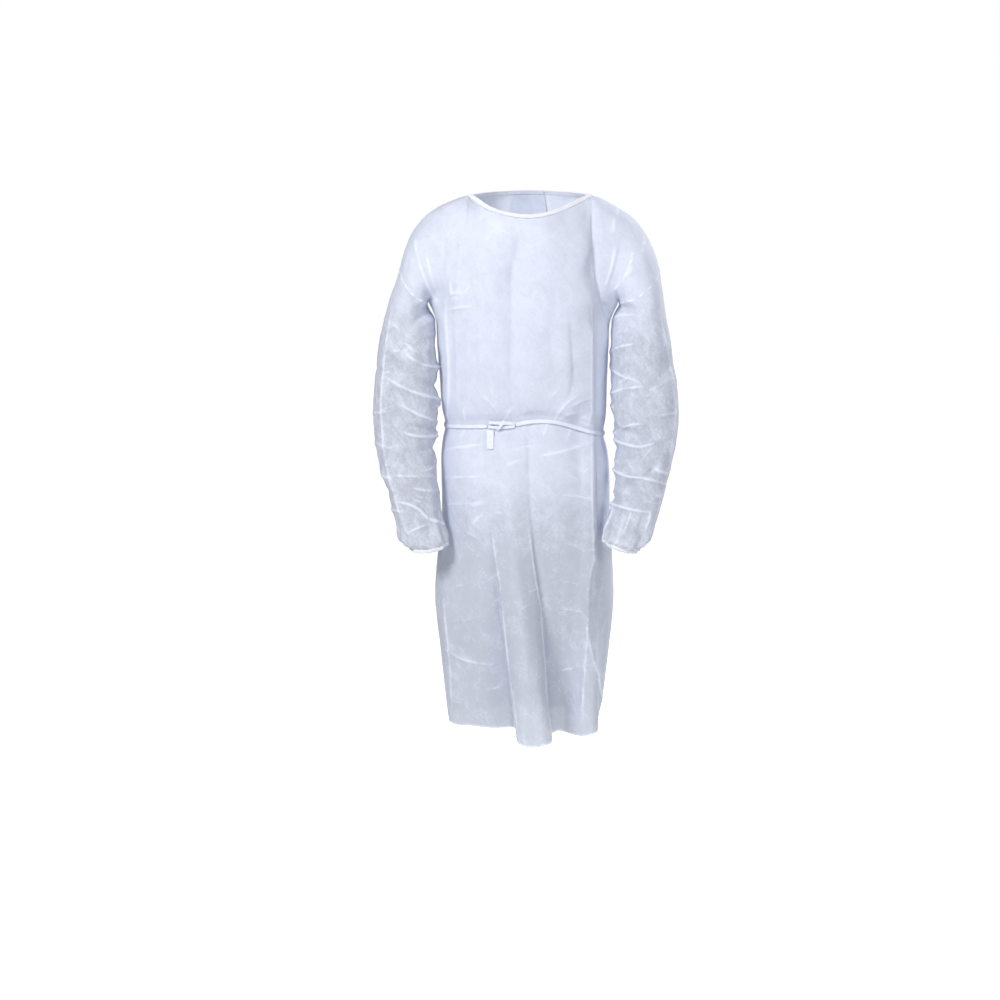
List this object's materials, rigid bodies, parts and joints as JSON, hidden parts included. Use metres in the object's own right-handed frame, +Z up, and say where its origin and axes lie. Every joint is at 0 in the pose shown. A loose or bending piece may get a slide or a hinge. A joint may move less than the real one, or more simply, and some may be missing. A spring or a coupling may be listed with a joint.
{
  "type": "isolation gown",
  "caption": "Loose white nonwoven isolation gown, worn: long balloon sleeves, elastic cuffs, bound neck and a narrow waist tape tied in front.",
  "frame": {"origin": "between the shoulders, level with the two neck points, where the wearer's shoulders hold the gown up", "axes": "+Z up, +X to the right of the picture (the wearer's left), the front faces -Y"},
  "size_m": [0.6045, 0.3551, 1.0789],
  "materials": {
    "nonwoven": "matte, thin and slightly see-through spunbond nonwoven, cloudy fibres",
    "binding": "matte folded nonwoven tape",
    "elastic": "matte gathered elastic edge",
    "tape": "matte nonwoven tape"
  },
  "bodies": {
    "root": {"front_panel": "nonwoven", "back_panel_left": "nonwoven", "back_panel_right": "nonwoven", "sleeve_left": "nonwoven", "sleeve_right": "nonwoven", "neck_binding": "binding", "neck_tie": "binding", "cuff_elastic_left": "elastic", "cuff_elastic_right": "elastic", "waist_tape": "tape", "waist_knot": "tape", "waist_tape_tail": "tape"}
  },
  "joints": []
}
